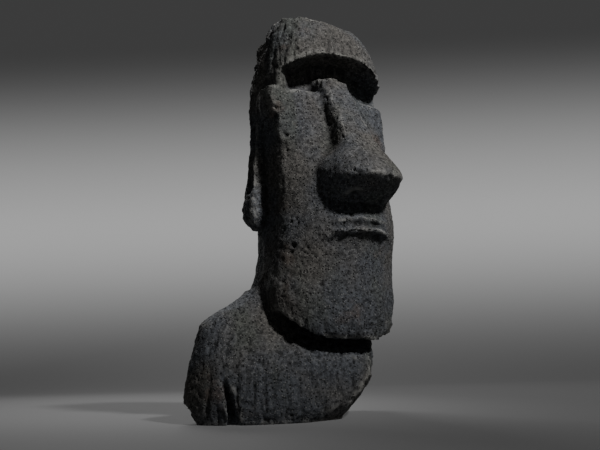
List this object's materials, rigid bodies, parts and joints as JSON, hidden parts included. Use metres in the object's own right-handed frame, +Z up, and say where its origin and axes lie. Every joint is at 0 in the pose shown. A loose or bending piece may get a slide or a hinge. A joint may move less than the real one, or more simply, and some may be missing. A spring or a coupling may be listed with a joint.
{
  "type": "moai stone head statue",
  "caption": "Carved basalt ancestor bust with a long nose, jutting brow and long ears, broken at its left shoulder, cut flat below to stand unaided.",
  "frame": {"origin": "on the flat underside, straight below the middle of the head", "axes": "+Z up through the crown, -Y the way the face looks, -X the figure's own right"},
  "size_m": [0.6987, 0.4943, 1.2069],
  "materials": {
    "basalt": "matte, weathered, pitted dark basalt with tool marks"
  },
  "bodies": {
    "root": {"moai_bust": "basalt"}
  },
  "joints": []
}
